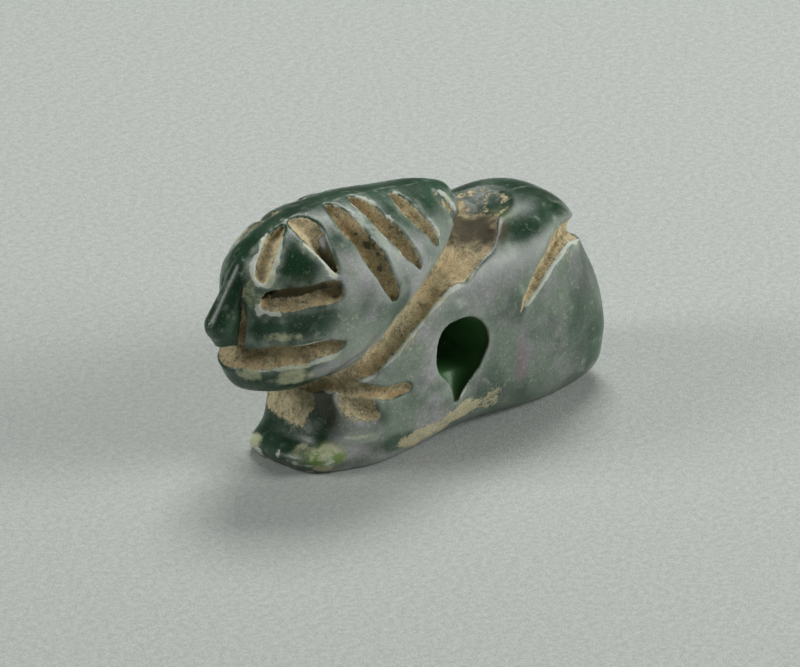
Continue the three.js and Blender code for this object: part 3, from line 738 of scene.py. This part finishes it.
class Paint:
    """A material and one way to add nodes to it."""

    def __init__(self, name):
        self.material = bpy.data.materials.new(name)
        self.material.use_nodes = True
        self.tree = self.material.node_tree
        self.shader = self.tree.nodes["Principled BSDF"]

    def node(self, kind, settings, *values, output=0):
        """Add a node, set its settings and then its sockets in order: a Wire is linked, None is left alone."""
        node = self.tree.nodes.new("ShaderNode" + kind)
        for key, value in settings.items():
            setattr(node, key, value)
        sockets = [socket for socket in node.inputs if socket.enabled]
        for socket, value in zip(sockets, values):
            self.join(value, socket)
        outputs = [socket for socket in node.outputs if socket.enabled]
        return Wire(self, outputs[output])

    def join(self, value, socket):
        if isinstance(value, Wire):
            self.tree.links.new(value.socket, socket)
        elif value is not None:
            socket.default_value = value

    def set(self, **values):
        """Set or link the shader's own sockets, named with underscores for spaces."""
        for name, value in values.items():
            self.join(value, self.shader.inputs[name.replace("_", " ")])

    def mix(self, share, first, second):
        """A colour between two colours."""
        return self.node("Mix", {"data_type": "RGBA", "clamp_factor": True}, share, opaque(first), opaque(second))

    def noise(self, place, scale, detail=4, roughness=0.55, distortion=0):
        settings = {"noise_dimensions": "3D", "normalize": True}
        return self.node("TexNoise", settings, place, scale, detail, roughness, None, distortion)

    def attribute(self, name):
        return self.node("Attribute", {"attribute_name": name, "attribute_type": "GEOMETRY"}, output=2)


def opaque(colour):
    return colour if isinstance(colour, Wire) else (*colour[:3], 1)


def stone_material(colours):
    """Dark green stone: mottled, milky with bloom and painted sheen on its sides, pale on worn edges and painted
    highlights, brown with soil in its cuts and darkened there by painted shade, and one painted green inside the bore.
    """
    paint = Paint("worn_green_stone")
    place = paint.node("VectorMath", {"operation": "SCALE"}, paint.node("TexCoord", {}, output=3), 1 / MM)
    names = ("soil", "orange", "painted_shade", "rim", "rub_and_highlight", "bloom_and_sheen", "cream", "leaf", "crust", "pink", "deep")
    soil, orange, painted_shade, rim, rub_and_highlight, bloom_and_sheen, cream, leaf, crust, pink, deep = (paint.attribute(name) for name in names)
    cloud = paint.noise(place, 0.8, 5, 0.6)
    mottle = paint.noise(place, 3.2, 4, 0.6)
    grain = paint.noise(place, 9, 3, 0.65)
    dust = paint.noise(place, 24, 2, 0.6)
    stone = paint.mix(cloud.ramp(0.38, 0.66), colours.deep_green, colours.leaf_green)
    stone = paint.mix(mottle.ramp(0.55, 0.75) * 0.3, stone, colours.rubbed_and_highlight)
    bloom_and_sheen_colour = paint.mix(cloud.ramp(0.35, 0.6), colours.milky_bloom_and_sheen, colours.green_bloom_and_sheen)
    # Bloom and painted sheen on the cheeks and flanks
    stone = paint.mix((bloom_and_sheen * (0.45 + 0.8 * grain)).clamped(), stone, bloom_and_sheen_colour)
    # Wear on high places and ridges, with painted highlights on the forearm and along the crest
    stone = paint.mix((rub_and_highlight * (0.3 + mottle.ramp(0.3, 0.6))).clamped(), stone, colours.rubbed_and_highlight)
    specks = (dust + 0.3 * grain).ramp(0.74, 0.9) * (0.2 + 0.6 * bloom_and_sheen)
    stone = paint.mix(specks, stone, colours.pale)
    stone = paint.mix(pink * 0.7, stone, colours.pink)
    stone = paint.mix((cream + (mottle - 0.5) * 1.8 + (grain - 0.5) * 0.8).ramp(0.1, 1.3), stone, colours.cream)
    leafy = paint.mix(mottle.ramp(0.4, 0.62), colours.yellow_green, colours.cream)
    stone = paint.mix(leaf.clamped() * 0.9, stone, leafy)
    # Painted shade in the cuts and under the chin, in the dark soil colour
    stone = paint.mix(painted_shade * 0.9, stone, colours.shade_and_dark_soil)
    # Painted light and shade inside the bore and the chip
    stone = paint.mix(deep, stone, colours.painted_inner_green)
    clods = 0.35 * mottle.ramp(0.36, 0.56) + 0.35 * grain.ramp(0.38, 0.6) + 0.35 * dust.ramp(0.4, 0.6)
    # Less of the lighter soil where shade is painted, so the dark soil colour shows
    earth_share = (0.12 + clods) * (1 - 0.75 * painted_shade)
    earth = paint.mix(earth_share, colours.shade_and_dark_soil, colours.soil)
    # Orange soil, laid more thickly on walls that face the lights as painted light
    earth = paint.mix(orange * cloud.ramp(0.35, 0.6) * 0.8 * (1 - painted_shade), earth, colours.orange_soil_and_light)
    earth = paint.mix((dust + 0.5 * grain).ramp(0.84, 1) * 0.7 * (1 - painted_shade), earth, colours.cream)
    covered = (soil * 1.5 + (grain - 0.5) * 1.2).ramp(0.35, 0.85)
    colour = paint.mix(covered * 0.95, stone, earth)
    crusted = (crust * 1.4 + (grain - 0.5) * 1.8 + (dust - 0.5) * 1.2).ramp(0.4, 0.9)
    crumbs = paint.mix(dust.ramp(0.35, 0.6), colours.soil, colours.crust)
    colour = paint.mix(crusted * 0.85, colour, crumbs)
    # Worn edges, and the painted highlight on the forearm
    edge = (rim * 1.5 + (grain - 0.5) * 1.3 + (dust - 0.5) * 0.8).ramp(0.35, 0.95)
    colour = paint.mix(edge * 0.9, colour, paint.mix(mottle.ramp(0.45, 0.65), colours.pale, colours.cream))
    rough = 0.32 + 0.16 * bloom_and_sheen + 0.45 * covered + 0.3 * crusted + 0.2 * edge + (grain - 0.5) * 0.12
    height = grain * (0.2 + 0.5 * covered + crusted) + dust * (0.3 + covered)
    paint.set(
        Base_Color=colour,
        Roughness=rough.clamped(),
        Normal=paint.node("Bump", {}, 0.5, 0.00003, None, height),
        Specular_IOR_Level=0.4,
        Subsurface_Weight=0.08,
        Subsurface_Radius=(0.4, 1, 0.6),
        Subsurface_Scale=0.0005,
    )
    return paint.material


def add_mesh(name, vertices, faces, material):
    """A smooth mesh object at the origin from points in metres."""
    mesh = bpy.data.meshes.new(name)
    mesh.from_pydata(vertices, [], faces)
    mesh.update()
    mesh.polygons.foreach_set("use_smooth", np.ones(len(mesh.polygons), bool))
    mesh.materials.append(material)
    piece = bpy.data.objects.new(name, mesh)
    bpy.context.scene.collection.objects.link(piece)
    return piece


class SphinxSizes(bpy.types.PropertyGroup):
    """Sizes of the carving."""

    body_width: FloatProperty(
        name="Body width", description="Width across the haunches", default=0.0049, unit="LENGTH", precision=5)
    head_width: FloatProperty(
        name="Head width", description="Width across the cheeks", default=0.0048, unit="LENGTH", precision=5)
    foot_width: FloatProperty(
        name="Foot width", description="Width across the forefeet", default=0.00344, unit="LENGTH", precision=5)
    bore_radius: FloatProperty(
        name="Bore radius", description="Radius half way through", default=0.00088, unit="LENGTH", precision=5)
    bore_mouth: FloatProperty(
        name="Bore mouth", description="Radius at the flanks", default=0.00096, unit="LENGTH", precision=5)
    neck_gap_radius: FloatProperty(
        name="Neck gap", description="Round of the gap under the chin", default=0.00072, unit="LENGTH", precision=5)
    edge_rounding: FloatProperty(
        name="Edge rounding", description="Round of the edges of the cuts", default=0.00004, unit="LENGTH",
        precision=6)
    fineness: FloatProperty(
        name="Fineness", description="Distance between points at the face", default=0.0000648, unit="LENGTH",
        precision=6)


def colour_property(name, description, default):
    return FloatVectorProperty(name=name, description=description, subtype="COLOR", min=0, max=1, default=default)


class SphinxColours(bpy.types.PropertyGroup):
    """Colours of the stone, its dirt, its painted shade, highlights and sheen, and the floor."""

    deep_green: colour_property("Deep green", "The stone where it is dark", (0.008, 0.036, 0.014))
    leaf_green: colour_property("Leaf green", "The stone where it is lighter", (0.034, 0.08, 0.045))
    # Rubbed green also colours the painted highlights on the forearm and along the crest
    rubbed_and_highlight: colour_property("Rubbed green", "The stone on its high places", (0.33, 0.38, 0.32))
    # The haze colours are bloom and painted sheen on the cheeks and flanks
    milky_bloom_and_sheen: colour_property("Milky", "Lilac haze on the cheeks and flanks", (0.42, 0.41, 0.42))
    green_bloom_and_sheen: colour_property("Milky green", "Green haze on the cheeks and flanks", (0.25, 0.3, 0.24))
    # Pale and cream also colour the painted highlight on the forearm
    pale: colour_property("Pale", "Worn edges", (0.56, 0.6, 0.53))
    cream: colour_property("Cream", "Creamy worn places", (0.5, 0.52, 0.33))
    yellow_green: colour_property("Yellow green", "The light patch on the foot", (0.19, 0.29, 0.07))
    pink: colour_property("Pink", "The streak on the flank", (0.24, 0.14, 0.18))
    # Inner green is painted light and shade inside the bore and the chip
    painted_inner_green: colour_property("Inner green", "The stone inside the bore", (0.05, 0.14, 0.045))
    # Dark soil is also the colour of the painted shade in the cuts and under the chin
    shade_and_dark_soil: colour_property("Dark soil", "Old dirt in deep cuts", (0.06, 0.05, 0.022))
    soil: colour_property("Soil", "Dry dirt in the cuts", (0.64, 0.55, 0.33))
    # Orange soil is also painted light: more of it on walls that face the lights
    orange_soil_and_light: colour_property("Orange soil", "Rusty dirt in the cuts", (0.54, 0.35, 0.16))
    crust: colour_property("Crust", "The crust low on the flank", (0.42, 0.4, 0.26))
    floor: colour_property("Floor", "The pale floor", (0.47, 0.5, 0.47))


class StageSettings(bpy.types.PropertyGroup):
    """The light."""

    sky: FloatProperty(name="Sky", description="Strength of the even light from all round", default=0.065, min=0)
    right: FloatProperty(name="Right light", description="Wide light from the right, in watts", default=0.135, min=0)
    left: FloatProperty(name="Left light", description="Wide light from the left, in watts", default=0.07, min=0)
    top: FloatProperty(name="Top light", description="Wide light from above, behind, in watts", default=0.12, min=0)


class SPHINX_OT_stone(bpy.types.Operator):
    """Carve the amulet from one piece of stone"""

    bl_idname = "sphinx.stone"
    bl_label = "Carve Sphinx"

    def execute(self, context):
        sizes = context.scene.sphinx_sizes
        form, vertices, quads = carve(sizes)
        masks, normal = shading(form, vertices, quads)
        vertices = roughened(vertices, normal, masks)
        low, high = (np.array(corner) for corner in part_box(NODE))
        span = vertices.max(0) - vertices.min(0)
        vertices = low + (vertices - vertices.min(0)) / span * (high - low)
        material = stone_material(context.scene.sphinx_colours)
        piece = add_mesh("carved_sphinx", vertices.tolist(), quads.tolist(), material)
        for name, values in masks.items():
            attribute = piece.data.attributes.new(name, "FLOAT", "POINT")
            attribute.data.foreach_set("value", values.astype(np.float32))
        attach(piece, "root")
        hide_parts(NODE)
        return {"FINISHED"}


class SPHINX_OT_stage(bpy.types.Operator):
    """Set the pale floor, the light and the camera"""

    bl_idname = "sphinx.stage"
    bl_label = "Set Stage"

    def execute(self, context):
        settings = context.scene.sphinx_stage
        paint = Paint("pale_floor")
        place = paint.node("VectorMath", {"operation": "SCALE"}, paint.node("TexCoord", {}, output=3), 1 / MM)
        grain = paint.noise(place, 5, 4, 0.75) * 0.5 + paint.noise(place, 17, 2, 0.7) * 0.5
        colour = Vector(context.scene.sphinx_colours.floor)
        paint.set(
            Base_Color=paint.mix(grain.ramp(0.36, 0.64), tuple(colour * 0.82), tuple(colour * 1.12)),
            Roughness=0.95,
            Normal=paint.node("Bump", {}, 0.6, 0.00006, None, grain),
        )
        half = 0.5
        corners = [(-half, -half, 0), (half, -half, 0), (half, half, 0), (-half, half, 0)]
        floor = add_mesh("floor", corners, [(0, 1, 2, 3)], paint.material)
        floor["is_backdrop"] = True
        world = bpy.data.worlds.new("studio")
        world.use_nodes = True
        background = world.node_tree.nodes["Background"]
        background.inputs["Color"].default_value = (0.86, 0.88, 0.9, 1)
        background.inputs["Strength"].default_value = settings.sky
        context.scene.world = world
        add_light("right_light", AZIMUTH + 82, 25, 0.065, settings.right)
        add_light("left_light", AZIMUTH - 76, 33, 0.045, settings.left)
        add_light("top_light", AZIMUTH + 175, 60, 0.06, settings.top)
        add_camera(context.scene)
        context.scene.view_settings.view_transform = "Standard"
        return {"FINISHED"}


def add_light(name, azimuth, elevation, size, power):
    """A square area light 140 mm from the amulet, aimed at its middle."""
    light = bpy.data.lights.new(name, "AREA")
    light.size = size
    light.energy = power
    lamp = bpy.data.objects.new(name, light)
    away = direction(azimuth, elevation)
    lamp.location = away * 0.14
    lamp.rotation_mode = "QUATERNION"
    lamp.rotation_quaternion = away.to_track_quat("Z", "Y")
    bpy.context.scene.collection.objects.link(lamp)


def direction(azimuth, elevation):
    """A unit vector: azimuth zero looks from -Y, and grows towards +X."""
    azimuth, elevation = math.radians(azimuth), math.radians(elevation)
    level = math.cos(elevation)
    return Vector((math.sin(azimuth) * level, -math.cos(azimuth) * level, math.sin(elevation)))


def add_camera(scene):
    """The photograph's view, from the place of the front edge of the forefeet in the picture."""
    back = direction(AZIMUTH, ELEVATION)
    right = direction(AZIMUTH + 90, 0)
    up = back.cross(right)
    wide, high = PICTURE
    target = Vector((-CARVING_MIDDLE, 0, 0))
    target += right * (wide / 2 - FOOT_PIXEL[0]) / PIXELS_PER_MM + up * (FOOT_PIXEL[1] - high / 2) / PIXELS_PER_MM
    camera = bpy.data.cameras.new("camera")
    camera.sensor_width = 36
    camera.lens = 36 * DISTANCE / (wide / PIXELS_PER_MM)
    camera.clip_start = 0.001
    camera.clip_end = 10
    holder = bpy.data.objects.new("camera", camera)
    holder.location = (target + back * DISTANCE) * MM
    holder.rotation_mode = "QUATERNION"
    holder.rotation_quaternion = (-back).to_track_quat("-Z", "Y")
    scene.collection.objects.link(holder)
    scene.camera = holder


class SPHINX_PT_panel(bpy.types.Panel):
    """Sizes, colours and light of the sphinx amulet"""

    bl_idname = "SPHINX_PT_panel"
    bl_label = "Sphinx Amulet"
    bl_space_type = "VIEW_3D"
    bl_region_type = "UI"
    bl_category = "Sphinx"

    def draw(self, context):
        scene = context.scene
        for group in (scene.sphinx_sizes, scene.sphinx_colours, scene.sphinx_stage):
            box = self.layout.box()
            for name in group.bl_rna.properties.keys():
                if name not in ("rna_type", "name"):
                    box.prop(group, name)
        self.layout.operator(SPHINX_OT_stone.bl_idname)
        self.layout.operator(SPHINX_OT_stage.bl_idname)


CLASSES = (SphinxSizes, SphinxColours, StageSettings, SPHINX_OT_stone, SPHINX_OT_stage, SPHINX_PT_panel)


def register():
    for each in CLASSES:
        bpy.utils.register_class(each)
    bpy.types.Scene.sphinx_sizes = PointerProperty(type=SphinxSizes)
    bpy.types.Scene.sphinx_colours = PointerProperty(type=SphinxColours)
    bpy.types.Scene.sphinx_stage = PointerProperty(type=StageSettings)


def unregister():
    del bpy.types.Scene.sphinx_stage
    del bpy.types.Scene.sphinx_colours
    del bpy.types.Scene.sphinx_sizes
    for each in reversed(CLASSES):
        bpy.utils.unregister_class(each)


def main():
    register()
    bpy.ops.sphinx.stone()
    bpy.ops.sphinx.stage()
    sizes = {name: [list(corner) for corner in box] for name, box in (("cad", FRAME_BOX), ("visual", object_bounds()))}


if __name__ == "__main__":
    main()
